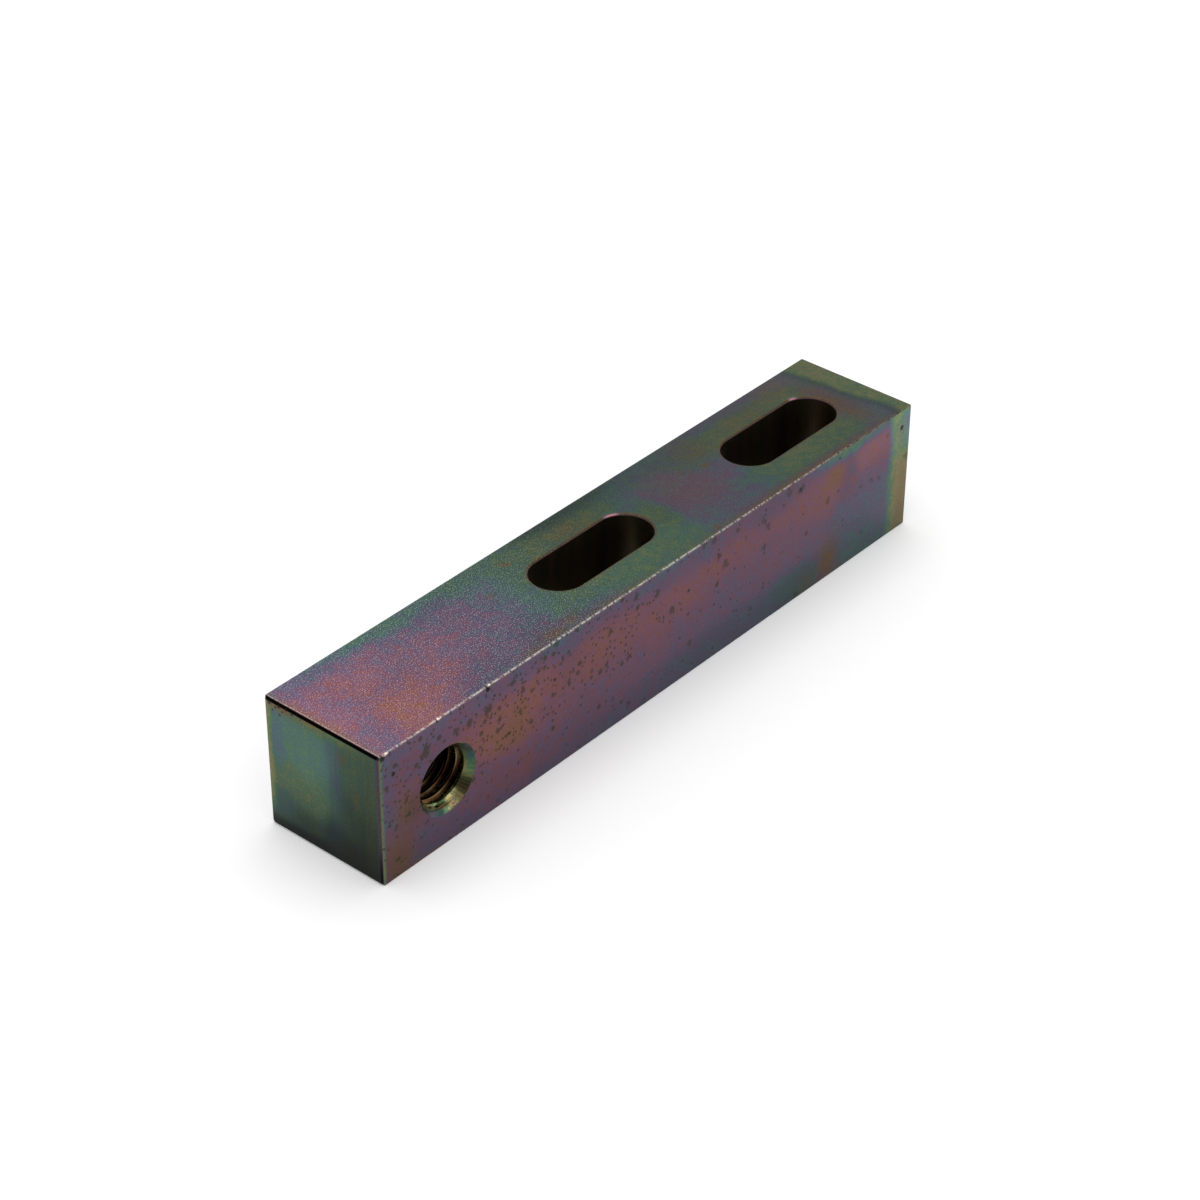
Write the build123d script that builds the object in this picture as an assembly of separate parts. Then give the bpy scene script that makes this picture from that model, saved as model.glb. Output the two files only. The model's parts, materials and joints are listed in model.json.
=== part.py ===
from build123d import *

import os
from math import radians, tan

# Machined mounting block: one piece of plated steel bar, cut to length, with two long slots milled
# down through it and one tapped hole across it near the other end. Screws through the slots hold the
# block down and let it slide before they are tightened. The tapped hole takes whatever the block
# carries, or a screw that adjusts it.
#
# The row frame: the origin is the middle of the underside, +X runs along the bar from its tapped end
# to its slotted end, +Y runs across it and +Z points up along the slots. Lengths are millimetres.

# The bar
bar_length = 136.0
bar_width = 24.5  # along Y, the way the tapped hole runs
bar_height = 25.0  # along Z, the way the slots run
long_edge_radius = 0.25  # bar stock has all but sharp long edges
end_chamfer = 0.5  # the cut ends are deburred all round

# The slots, milled right through from the top to the underside
slot_count = 2
slot_width = 10.0  # one pass of an end mill
slot_length = 26.6  # over both round ends
slot_pitch = 50.0  # centre to centre
slot_end_distance = 22.7  # from the slotted end to the middle of the nearer slot
slot_edge_break = 0.25  # small chamfer at both mouths of a slot

# The tapped hole, right through the bar's width
tap_drill_diameter = 10.2  # for an M12 coarse thread
tapped_hole_end_distance = 15.0  # from the tapped end to the hole's axis
tapped_hole_height = 12.25  # from the underside to the hole's axis
countersink_diameter = 12.7  # at the face, a little over the thread's outer diameter
countersink_angle = 90.0  # included angle of the cone

# Places that follow from those sizes
tapped_hole_x = -bar_length / 2 + tapped_hole_end_distance
slot_row_x = bar_length / 2 - slot_end_distance - slot_pitch * (slot_count - 1) / 2
countersink_depth = (countersink_diameter - tap_drill_diameter) / 2 / tan(radians(countersink_angle / 2))


def plain_bar():
    """The bar as cut off: chamfered round both ends, its long edges just rounded."""
    bar = Box(bar_length, bar_width, bar_height, align=(Align.CENTER, Align.CENTER, Align.MIN))
    ends = bar.faces().sort_by(Axis.X)
    bar = chamfer(ends[0].edges() + ends[-1].edges(), end_chamfer)
    return fillet(bar.edges().filter_by(Axis.X), long_edge_radius)


def slot_row():
    """The cutters for the slots, standing in a row at their places along the bar."""
    slot = extrude(SlotOverall(slot_length, slot_width), bar_height)
    middle = Pos(slot_row_x, 0, 0)
    return [middle * place * slot for place in GridLocations(slot_pitch, 0, slot_count, 1)]


def slot_mouths(block):
    """The edges where the slots come out through the underside and the top face."""
    across = block.faces().sort_by(Axis.Z)
    mouths = across[0].inner_wires() + across[-1].inner_wires()
    return mouths.edges()


def tapped_hole():
    """The cutter for the tapped hole: half its section turned about its axis, a cone at each end."""
    bore = tap_drill_diameter / 2
    mouth = countersink_diameter / 2
    face = bar_width / 2
    foot = face - countersink_depth
    section = Polyline(
        (0, -face), (mouth, -face), (bore, -foot), (bore, foot), (mouth, face), (0, face), close=True
    )
    axis_place = Pos(tapped_hole_x, 0, tapped_hole_height)
    return axis_place * revolve(make_face(section), Axis.Y)


block = plain_bar() - slot_row()
block = chamfer(slot_mouths(block), slot_edge_break)
block -= tapped_hole()

os.makedirs("parts", exist_ok=True)
export_step(block, "parts/mounting_block.step")
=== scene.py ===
# %% [markdown]
# # A machined mounting block
#
# The real block is one piece of steel bar, sawn to length, milled on its ends, slotted, drilled,
# countersunk and tapped, then zinc plated and dipped in a yellow chromate bath. The bath leaves a clear
# film so thin that it colours the light, like oil on water: as it thickens, rose turns to violet, blue,
# teal and green.
#
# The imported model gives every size. This script only dresses it, in the same frame: the origin is the
# middle of the underside, +X runs to the slotted end and +Z points up along the slots.

# %% Load the frame
import json
import math

import bpy
import numpy as np
from mathutils import Matrix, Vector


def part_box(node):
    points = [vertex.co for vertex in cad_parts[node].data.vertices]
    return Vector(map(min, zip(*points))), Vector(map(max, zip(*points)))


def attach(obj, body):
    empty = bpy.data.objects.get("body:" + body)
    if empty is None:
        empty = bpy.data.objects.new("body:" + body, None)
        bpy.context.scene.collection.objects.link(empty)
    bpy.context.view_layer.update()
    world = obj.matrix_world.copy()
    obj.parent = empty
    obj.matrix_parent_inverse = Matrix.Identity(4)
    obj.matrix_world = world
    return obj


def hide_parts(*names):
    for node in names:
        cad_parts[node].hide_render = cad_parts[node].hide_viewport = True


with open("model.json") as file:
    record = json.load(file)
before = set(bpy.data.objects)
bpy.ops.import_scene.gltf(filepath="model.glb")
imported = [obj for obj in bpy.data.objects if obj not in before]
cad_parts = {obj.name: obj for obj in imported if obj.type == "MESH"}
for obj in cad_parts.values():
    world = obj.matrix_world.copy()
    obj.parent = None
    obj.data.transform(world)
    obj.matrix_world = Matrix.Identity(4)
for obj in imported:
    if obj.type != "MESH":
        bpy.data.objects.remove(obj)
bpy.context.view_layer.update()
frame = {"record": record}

# %% [markdown]
# ## The block's own sizes
#
# Work is easier in millimetres, and the finished mesh is turned back into metres at the end. The slots
# and the hole are read from the record's mounts, so the dressed block can't drift away from its part.

# %% Read the sizes
low, high = (np.array(corner) * 1000 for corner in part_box("mounting_block"))
length, width, height = high - low
mounts = {mount["name"]: mount for mount in frame["record"]["mounts"]}

slot_row = mounts["slots"]
slot_radius = slot_row["dims"]["hole_r_mm"]
slot_straight = slot_row["dims"]["slot_length_mm"] / 2 - slot_radius  # half the straight part
slot_centres = slot_row["pos_m"][0] * 1000 + slot_row["dims"]["spacing_x_mm"] * np.array([-0.5, 0.5])

hole = mounts["tapped_hole"]
hole_x = hole["pos_m"][0] * 1000
hole_z = hole["pos_m"][2] * 1000
hole_mouth_radius = hole["dims"]["r_mm"] + (width - hole["dims"]["length_mm"]) / 2  # cones of 45 degrees
thread_pitch = 1.75  # M12 coarse
thread_crest_radius = 5.05
thread_root_radius = 6.0

print(f"bar {length:.1f} x {width:.1f} x {height:.1f} mm, slots at {slot_centres}, hole at {hole_x:.1f}")

# %% [markdown]
# ## The camera
#
# The camera comes first, because everything is judged through it. It stands half a metre away with a long
# lens, and looks down on the tapped end from the front left, a third of a degree off level. A camera looks
# along its own -Z with +Y up, so its matrix has three columns: right, up and backwards.

# %% Camera
camera_place = np.array([-332.11, -280.98, 314.58])
looking = np.array([0.625272, 0.533057, -0.569987])
level = np.cross(looking, [0, 0, 1])
level /= np.linalg.norm(level)
roll = math.radians(0.313)
right = level * math.cos(roll) + np.cross(level, looking) * math.sin(roll)
up = np.cross(right, looking)


def put(name, data):
    """Makes an object of some data and puts it in the scene."""
    made = bpy.data.objects.new(name, data)
    bpy.context.scene.collection.objects.link(made)
    return made


camera = put("camera", bpy.data.cameras.new("camera"))
camera.data.sensor_width = 36
camera.data.lens = 94.821
camera.data.clip_start = 0.01
turn = np.stack([right, up, -looking], axis=1)
camera.matrix_world = Matrix.Translation(camera_place / 1000) @ Matrix(turn.tolist()).to_4x4()
bpy.context.scene.camera = camera
print("lens", round(camera.data.lens, 1), "mm")

# %% [markdown]
# ## Collecting the surface
#
# A block with holes is easiest to make as a few grids that share their border points: the skin round
# the bar, the two ends, and one sleeve through each hole. Each grid is a whole array of points. Points that
# fall together are made one at the end, which closes the surface. A face's front is on the side where "down
# the rows, then across" turns left.

# %% Grid collector
points_laid = []
faces_laid = []
finish_laid = []
PLATED, SLOT, THREAD = 0, 1, 2


def lay(grid, finish, keep=None):
    """Lays a grid of points (rows, columns, xyz) down as four-cornered faces.

    A face joins a point to the ones below, below right and right of it. keep says which faces to keep.
    """
    rows, columns = grid.shape[:2]
    first = sum(len(block) for block in points_laid)
    number = first + np.arange(rows * columns).reshape(rows, columns)
    corners = [number[:-1, :-1], number[1:, :-1], number[1:, 1:], number[:-1, 1:]]
    faces = np.stack(corners, axis=-1).reshape(-1, 4)
    if keep is not None:
        faces = faces[keep.reshape(-1)]
    points_laid.append(grid.reshape(-1, 3))
    faces_laid.append(faces)
    finish_laid.append(np.full(len(faces), finish))


# %% [markdown]
# ## The skin of the bar
#
# Drawn bar has four flat sides and four edges that are all but sharp. The skin carries one closed outline
# along the bar: a row of points for each side, and a small quarter circle to the next. Close to each end the
# outline shrinks along a rounded chamfer, as a file leaves it.

# %% Skin
edge_radius = 0.27
end_chamfer = 0.5
chamfer_bluntness = 1.5  # 1 would make the chamfer a quarter circle, and 2 a straight slope
corner_growth = 0.7  # how much rounder the long edges get, for each millimetre that the chamfer cuts in
fine_step, fine_end = 0.25, 30  # close stations near the tapped end, where the hole and the knocks are
arc_steps = 6
flat_share = np.concatenate([[0, 0.004, 0.016], np.linspace(0.05, 0.95, 22), [0.984, 0.996, 1]])
side_columns = len(flat_share) + arc_steps - 1


def outline(inset, radius):
    """The bar's outline at each station: a rounded rectangle.

    Side k runs along t with outward normal n. Its flat points are n*b + t*a*(2*share - 1), where a and b
    are the half sizes less the corner radius and the inset, and its corner adds radius*(n*cos + t*sin).
    """
    quarter = np.linspace(0, math.pi / 2, arc_steps + 1)[1:-1]
    normals = [(0, 1), (1, 0), (0, -1), (-1, 0)]
    parts = []
    for n in normals:
        n = np.array(n)
        t = np.array([n[1], -n[0]])
        half = np.array([width, height]) / 2
        b = abs(n @ half) - inset
        a = abs(t @ half) - inset - radius
        flat = n * b[:, None, None] + t * (a[:, None] * (2 * flat_share - 1))[..., None]
        bend = n * np.cos(quarter)[:, None] + t * np.sin(quarter)[:, None]
        corner = n * (b - radius)[:, None, None] + t * a[:, None, None] + radius[:, None, None] * bend
        parts += [flat, corner]
    loop = np.concatenate(parts, axis=1)
    return np.concatenate([loop, loop[:, :1]], axis=1)


bend_angle = np.linspace(math.pi / 2, 0, 7)
chamfer_in = end_chamfer * (1 - np.sin(bend_angle) ** chamfer_bluntness)
chamfer_down = end_chamfer * (1 - np.cos(bend_angle) ** chamfer_bluntness)
fine_run = np.append(end_chamfer + 0.1, np.arange(end_chamfer + fine_step, fine_end, fine_step))
plain_run = np.linspace(fine_end, length - end_chamfer - fine_step, 211)
along = np.concatenate([chamfer_in, fine_run, plain_run, length - chamfer_in[::-1]])
inset = np.concatenate([chamfer_down, 0 * fine_run, 0 * plain_run, chamfer_down[::-1]])
station_x = along - length / 2

section = outline(inset, edge_radius + corner_growth * inset)
skin = np.empty(section.shape[:2] + (3,))
skin[..., 0] = station_x[:, None]
skin[..., 1] = section[..., 0]
skin[..., 2] = section[..., 1] + height / 2
print("skin:", skin.shape[0], "stations of", skin.shape[1], "points")

# %% [markdown]
# ## The two ends
#
# The ends are flat, but the film drifts across them in soft bands, which need points to hold their
# colour. So each end is closed by rings that shrink to its middle.

# %% Ends
ring_share = np.concatenate([[1, 0.996, 0.985], np.linspace(0.95, 0, 15)])
for station, order in ((0, -1), (-1, 1)):
    rim_points = skin[station]
    middle = np.array([station_x[station], 0, height / 2])
    rings = middle + (rim_points - middle) * ring_share[:, None, None]
    lay(rings[::order], PLATED)
print("ends:", len(ring_share), "rings each")

# %% [markdown]
# ## Openings in the skin
#
# A slot or a hole takes a rectangle of faces out of the skin on both sides of the bar. The rectangle's
# border is the outermost row of a sleeve that narrows to the mouth, goes through the bar and widens again.
# Every border point slides straight towards the slot's centre line, so the rows never cross.

# %% Openings
side_start = {"top": 0, "back": side_columns, "under": 2 * side_columns, "front": 3 * side_columns}
first_flat = 2  # a rectangle starts a little in from the long edges
last_flat = len(flat_share) - 3
skin_kept = np.ones((skin.shape[0] - 1, skin.shape[1] - 1), bool)


def open_skin(side, from_x, to_x, turned):
    """Leaves a rectangle of faces out of one side, and returns its border points, clockwise from outside."""
    first = np.argmin(abs(station_x - from_x))
    last = np.argmin(abs(station_x - to_x))
    left = side_start[side] + first_flat
    right_end = side_start[side] + last_flat
    skin_kept[first:last, left:right_end] = False
    block = skin[first:last + 1, left:right_end + 1]
    if turned:
        block = block[:, ::-1]
    border = [block[:, 0], block[-1, 1:], block[-2::-1, -1], block[0, -2::-1]]
    return np.concatenate(border)[::-1]


def towards(border, axes, centre, straight):
    """For each border point, its foot on the slot's centre line and the unit direction back out to it.

    The foot is the point's own place along the line, held within half the straight part.
    """
    flat = border[:, axes] - centre
    foot = np.stack([np.clip(flat[:, 0], -straight, straight), 0 * flat[:, 1]], axis=1)
    out = flat - foot
    return foot + centre, out / np.linalg.norm(out, axis=1, keepdims=True)


# %% [markdown]
# ## The slots
#
# An end mill leaves straight walls and round ends, and both mouths have a small edge break. A sleeve's
# rows are all the same outline, grown by moving each point out from the centre line.

# %% Slots
edge_break = 0.25
break_bluntness = 1.6
collar_end = 3.2  # from a slot's end to the end of its rectangle
wall_start = 0.4  # how far below the mouth the plain wall starts
spread = np.array([0, 0.06, 0.25, 0.5, 0.7, 0.86, 0.96, 0.992])
rim_bend = np.linspace(0, math.pi / 2, 6)
rim_grow = edge_break * (1 - np.sin(rim_bend) ** break_bluntness)
rim_down = edge_break * (1 - np.cos(rim_bend) ** break_bluntness)


def lay_tube(rows, finish):
    """Lays closed rows of points down as a tube: the first point of a row comes again after the last."""
    tube = np.array(rows)
    lay(np.concatenate([tube, tube[:, :1]], axis=1), finish)


for centre_x in slot_centres:
    reach = slot_straight + slot_radius + collar_end
    top_border = open_skin("top", centre_x - reach, centre_x + reach, False)
    under_border = open_skin("under", centre_x - reach, centre_x + reach, True)
    foot, out = towards(top_border, [0, 1], [centre_x, 0], slot_straight)

    def slot_loop(grow, z):
        """The slot's outline grown by some amount, at a height."""
        flat = foot + out * (slot_radius + grow)
        return np.column_stack([flat, np.full(len(flat), z)])

    mouth = slot_loop(rim_grow[0], height)
    top_rows = [top_border + (mouth - top_border) * s for s in spread]
    floor_mouth = slot_loop(rim_grow[0], 0)
    under_rows = [under_border + (floor_mouth - under_border) * s for s in spread[::-1]]
    rim_rows = [slot_loop(g, height - d) for g, d in zip(rim_grow, rim_down)]
    wall_rows = [slot_loop(0, z) for z in np.linspace(height - wall_start, wall_start, 9)]
    foot_rows = [slot_loop(g, d) for g, d in zip(rim_grow[::-1], rim_down[::-1])]

    lay_tube(top_rows + rim_rows, PLATED)
    lay_tube(rim_rows[-1:] + wall_rows + foot_rows[:1], SLOT)
    lay_tube(foot_rows + under_rows, PLATED)
print("slots: border of", len(top_border), "points")

# %% [markdown]
# ## The tapped hole
#
# A tap cuts one groove that winds along the bore, so the thread is a helix and not a stack of rings. Its
# section repeats once a pitch: a flat crest at the drilled size, a slope of 60 degrees between flanks, and
# a narrow flat root. The countersink is a plain cone that wins wherever it is wider, as when the real one
# is cut. The tap's first bite is only a slope, and its full groove starts a few degrees further round.
# Angles are in degrees round the hole, from the slotted end upwards as seen from the front.

# %% Tapped hole
hole_collar = 8.6  # from the hole's axis to the sides of its rectangle
hole_section = hole_x - hole_collar, hole_x + hole_collar
first_crest = 1.5  # how deep the first crest is at angle 0
crest_edge = 0.10  # from the middle of a crest to the rim of its blunt side
blunt_by = 0.15  # how far in the first crest's near edge has moved
blunt_depths = 2.7, 2.2  # below the first of these it stands still, above the second it has moved wholly
flank_row = 0.14  # one more row of points, this far down the near flank of a crest
cone_depth = 1.3  # where the countersink has narrowed to the crests
fade_in = 0.3  # the groove reaches its full depth in this stretch below the cone
bite_slope = 0.4
bite_starts, groove_starts = (-118, -106), (-108, -96)
front_border = open_skin("front", *hole_section, False)
back_border = open_skin("back", *hole_section, True)
foot, out = towards(front_border, [0, 2], [hole_x, hole_z], 0)
around = np.unwrap(np.arctan2(out[:, 1], out[:, 0]))
around = np.append(around, around[0] - 2 * math.pi)
out = np.concatenate([out, out[:1]])

soften = 0.035  # the tap and the plating leave no sharp corner
crest = thread_pitch / 8
root = thread_pitch / 2 - thread_pitch / 16
half_way = (crest + root) / 2
next_crest = thread_pitch - crest
row_place = np.array([
    -crest + soften, -crest_edge, crest - soften, crest + soften, half_way, root,
    thread_pitch - root, thread_pitch - half_way, next_crest - flank_row, next_crest - soften,
])
slope_share = np.clip((np.minimum(row_place, thread_pitch - row_place) - crest) / (root - crest), 0, 1)
row_radius = thread_crest_radius + (thread_root_radius - thread_crest_radius) * slope_share
turns = np.arange(-3, math.ceil(width / thread_pitch) + 3)
row_place = (turns[:, None] * thread_pitch + row_place).reshape(-1)
row_radius = np.tile(row_radius, len(turns))
near_edge_row = np.tile([1, 1, 0, 0, 0, 0, 0, 1, 1, 1], len(turns))


def ramp_up(value, start, end):
    """0 at start, 1 at end, and a smooth S between them: 3t^2 - 2t^3."""
    t = np.clip((value - start) / (end - start), 0, 1)
    return t * t * (3 - 2 * t)


def tapped_sleeve():
    """The hole's wall. A row starts at its own depth and climbs by one pitch a turn.

    The depth is held between the two faces, and the radius is the largest of the thread's and the two
    cones', each of which narrows by its depth below its own face. The groove fades out on the cones. The
    tap's first bite took the wall away as a slope in front of the first crest, and left no groove there.
    """
    depth = row_place[:, None] + first_crest - thread_pitch * around / (2 * math.pi)
    depth += blunt_by * near_edge_row[:, None] * ramp_up(depth, *blunt_depths)
    depth = np.clip(depth, 0, width)
    from_face = np.minimum(depth, width - depth)
    cones = hole_mouth_radius - from_face
    angle = np.degrees(np.arctan2(out[:, 1], out[:, 0]))
    to_first_crest = first_crest - crest_edge - thread_pitch * angle / 360 - depth
    slope = bite_slope * np.maximum(to_first_crest, 0) * ramp_up(angle, *bite_starts)
    no_groove = ramp_up(angle, *groove_starts) * (to_first_crest > 0)
    run_out = np.clip((from_face - cone_depth) / fade_in, 0, 1) * (1 - no_groove)
    thread = thread_crest_radius + (row_radius[:, None] - thread_crest_radius) * run_out
    radius = np.maximum(np.maximum(thread, cones), thread_crest_radius + slope)
    grid = np.empty(depth.shape + (3,))
    grid[..., 0] = hole_x + radius * out[:, 0]
    grid[..., 1] = depth - width / 2
    grid[..., 2] = hole_z + radius * out[:, 1]
    return grid


thread_grid = tapped_sleeve()
lay(thread_grid, THREAD)
for border, y, order in ((front_border, -width / 2, 1), (back_border, width / 2, -1)):
    border = np.concatenate([border, border[:1]])
    mouth = np.stack([hole_x + hole_mouth_radius * out[:, 0], 0 * around + y,
                      hole_z + hole_mouth_radius * out[:, 1]], axis=1)
    collar = np.array([border + (mouth - border) * s for s in np.append(spread, 1)])
    lay(collar[::order], PLATED)
lay(skin, PLATED, skin_kept)
print("thread:", len(turns) - 6, "turns,", thread_grid.shape[1] - 1, "points round")

# %% [markdown]
# ## One closed surface
#
# The grids' border points are equal to the last digit, so rounding them and keeping each place once joins
# the grids. Rows held at a face have shrunk to a line there, so their faces have lost some corners.

# %% Join the grids
everything = np.concatenate(points_laid)
faces = np.concatenate(faces_laid)
finish = np.concatenate(finish_laid)
_, kept, renumber = np.unique(np.round(everything, 5), axis=0, return_index=True, return_inverse=True)
faces = renumber.reshape(-1)[faces]
used, faces = np.unique(faces, return_inverse=True)
faces = faces.reshape(-1, 4)
vertices = everything[kept[used]]
print(len(everything), "points laid,", len(vertices), "left when those that fall together are one")

# %% [markdown]
# ## Knocks along the front top edge
#
# A block that is handled gets its edges knocked. Each knock is a bell curve along the edge that pushes
# points in at 45 degrees and fades out on both faces.

# %% Knocks
knock_reach = 0.45  # how far a knock reaches from the edge
knocks = [  # from the tapped end, half its length, how deep; a negative depth is a raised burr
    (0.9, 0.35, 0.3), (1.7, 0.25, -0.12), (13.0, 0.25, 0.14), (13.4, 0.2, -0.1), (24.4, 0.35, 0.32),
    (24.9, 0.25, -0.14), (40.6, 0.4, 0.12), (58.0, 0.5, 0.08), (77.4, 0.4, 0.12), (96.0, 0.5, 0.08),
]
from_end = vertices[:, 0] + length / 2
from_edge = np.hypot(vertices[:, 1] + width / 2, height - vertices[:, 2])
pushed_in = sum(deep * np.exp(-((from_end - at) / half) ** 2) for at, half, deep in knocks)
pushed_in *= np.exp(-(from_edge / knock_reach) ** 2) / math.sqrt(2)
vertices[:, 1] += pushed_in
vertices[:, 2] -= pushed_in
print(f"knocks move points by up to {1000 * abs(pushed_in).max():.0f} micrometres")

# %% [markdown]
# ## The mesh
#
# Faces are sorted by how many corners they have left: four, three, or too few to keep. Those that meet at
# less than 50 degrees are shaded as one surface, so small chamfers look rounded and the crests crisp.

# %% Make the mesh
same_as_next = faces == np.roll(faces, -1, axis=1)
folded = (faces[:, 0] == faces[:, 2]) | (faces[:, 1] == faces[:, 3])
whole = (same_as_next.sum(1) == 0) & ~folded
pinched = (same_as_next.sum(1) == 1) & ~folded
triangles = faces[pinched][~same_as_next[pinched]].reshape(-1, 3)
print("closed surface:", len(vertices), "points,", whole.sum(), "quads,", len(triangles), "triangles")

block = put("block", bpy.data.meshes.new("block"))
block.data.from_pydata((vertices / 1000).tolist(), [], faces[whole].tolist() + triangles.tolist())
block.data.polygons.foreach_set("material_index", np.concatenate([finish[whole], finish[pinched]]))
block.data.polygons.foreach_set("use_smooth", np.ones(len(block.data.polygons), bool))
block.data.set_sharp_from_angle(angle=math.radians(50))
block.data.update()

# %% [markdown]
# ## Where the film is thick and thin
#
# The bath drains off in slow drifts, so the film is a smooth field with a few soft centres on each face.
# Each centre has a film, from 0 for the thinnest to 1 for the thickest, and a tone, which is how light the
# metal looks there. Marks of stain say where the film has gone brown. All are kept on the mesh's points, so
# the finish follows the surface and needs no picture.

# %% Soft patches
base_weight = 0.06


def bells(across, up, centres):
    """Each centre's bell curve at each point, exp(-(distance / reach)^2) over its two reaches."""
    far_across = (across[:, None] - centres[:, 0]) / centres[:, 2]
    far_up = (up[:, None] - centres[:, 1]) / centres[:, 3]
    return np.exp(-far_across ** 2 - far_up ** 2)


def drifts(across, up, centres, base):
    """Blends centres (across, up, reach across, reach up, film, tone) into fields of film, tone and stain.

    A field is the mean of the centres, weighted by their bell curves, with the base weighed in faintly.
    The stain starts at 0 everywhere.
    """
    centres = np.array(centres, float)
    weight = bells(across, up, centres)
    total = base_weight + weight.sum(1)
    fields = [(base_weight * b + weight @ centres[:, 4 + i]) / total for i, b in enumerate(base)]
    return fields + [0 * total]


def marks(across, up, centres):
    """Separate soft marks: at each point, the strongest of strength * bell curve."""
    centres = np.array(centres, float)
    return (centres[:, 4] * bells(across, up, centres)).max(1)


def pull(fields, share, *goals):
    """Pulls each field towards its goal, by a share of the way at each point."""
    for field, goal in zip(fields, goals):
        field += share * (goal - field)


s = vertices[:, 0] + length / 2  # from the tapped end
t = vertices[:, 1] + width / 2  # from the front face
z = vertices[:, 2]
film, tone, stain = (np.full(len(vertices), value) for value in (0.4, 0.95, 0.0))
print("soft patches can be laid on", len(vertices), "points")

# %% [markdown]
# ## The top face
#
# The top is rose near the tapped end and green round the slots. A thin dark line crosses it near the far
# end, with a lighter, greener strip beyond.

# %% Top face
top = drifts(s, t, [
    (2, 12, 4, 9, 0.32, 1.22), (12, 18, 5, 4, 0.28, 1.17), (12, 5, 5, 5, 0.23, 1.15),
    (5, 5, 3, 3, 0.42, 1.12), (17, 19.5, 5, 3, 0.4, 1.09), (25, 12, 6, 6, 0.36, 1.08),
    (20, 7, 4, 4, 0.28, 1.09), (28, 3, 6, 4, 0.46, 0.95), (35, 12, 5, 8, 0.42, 1.01),
    (41, 3, 4, 4, 0.5, 0.85), (42, 13, 3, 8, 0.52, 0.98), (46, 12, 2, 9, 0.62, 0.95),
    (50, 12, 3, 10, 0.72, 0.9), (3, 23.5, 4, 1.5, 0.5, 1.16), (10, 23.5, 5, 1.6, 0.62, 1.08),
    (25, 23.6, 10, 1.8, 0.68, 1.02), (43, 23, 9, 2.5, 0.68, 0.9), (56, 19.5, 6, 3, 0.78, 0.84),
    (68, 23.5, 9, 1.6, 0.7, 0.56), (68, 19.8, 8, 2.2, 0.78, 0.76), (60, 4.5, 9, 3, 0.77, 0.9),
    (74, 4.5, 7, 3, 0.75, 0.88), (52, 1.5, 6, 1.8, 0.42, 0.84), (64, 1.3, 7, 1.2, 0.72, 0.88),
    (86, 12, 5, 6, 0.46, 0.82), (94, 12, 4, 4, 0.42, 0.82), (82, 17, 4, 3, 0.52, 0.81),
    (84, 21.5, 6, 2, 0.62, 0.73), (95, 21.5, 5, 2.4, 0.6, 0.74), (95, 17, 3, 2.4, 0.74, 0.76),
    (86, 5, 5, 3, 0.5, 0.84), (95, 3, 5, 2.5, 0.48, 0.82), (79.5, 12, 1.8, 5, 0.84, 0.78),
    (107, 19.5, 7, 2.4, 0.82, 0.76), (116, 20, 4, 2, 0.76, 0.74), (122, 19.5, 4, 2, 0.86, 0.76),
    (106, 4.5, 8, 3, 0.79, 0.8), (118, 4.5, 6, 2.6, 0.82, 0.76), (112, 23.4, 10, 1.4, 0.5, 0.76),
    (124, 22.5, 5, 2, 0.54, 0.82), (127.5, 12, 2, 7, 0.54, 0.75), (128, 3.5, 3, 3, 0.56, 0.78),
    (112, 0.5, 16, 1.1, 0.5, 0.77),
], (0.72, 0.82))
end_line = 130.6 + 1.6 * np.exp(-((t - 3) / 5) ** 2) - 1.2 * ramp_up(t, 15, 24)
end_strip = ramp_up(s, end_line - 0.3, end_line + 1.6)
pull(top, end_strip, 0.86, 0.88)
top[1] *= 1 - 0.16 * np.exp(-((s - end_line) / 0.9) ** 2)  # the dark line
top[2] = marks(s, t, [
    (0.8, 12, 0.7, 14, 0.5), (88, 16, 7, 6, 0.35), (98, 20, 5, 5, 0.45), (112, 20, 8, 4, 0.35),
    (123, 22, 6, 3, 0.55), (127, 11, 2.8, 9, 0.85), (88, 12, 7, 7, 0.35), (92, 9, 5, 3, 0.25),
    (108, 0, 30, 1.4, 0.85), (56, 0.4, 12, 0.8, 0.5), (41.5, 1.5, 2.6, 1.1, 0.9), (46.5, 2.2, 2, 1.2, 0.7),
    (36, 0.8, 3, 0.8, 0.6), (65, 19, 6, 2.4, 0.35), (96, 15, 0.9, 0.8, 0.9), (91.5, 16.5, 0.7, 0.7, 0.9),
    (84.8, 12.3, 0.8, 0.6, 0.8), (98.2, 18.2, 1.2, 0.8, 0.8), (82.5, 1, 1, 0.8, 0.9),
    (42.5, 16, 0.8, 0.6, 0.6), (51, 20.3, 0.7, 0.7, 0.7), (66, 21, 1.2, 0.5, 0.6),
]) * (1 - 0.7 * end_strip)
print(f"top: film {top[0].min():.2f} to {top[0].max():.2f}")
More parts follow.
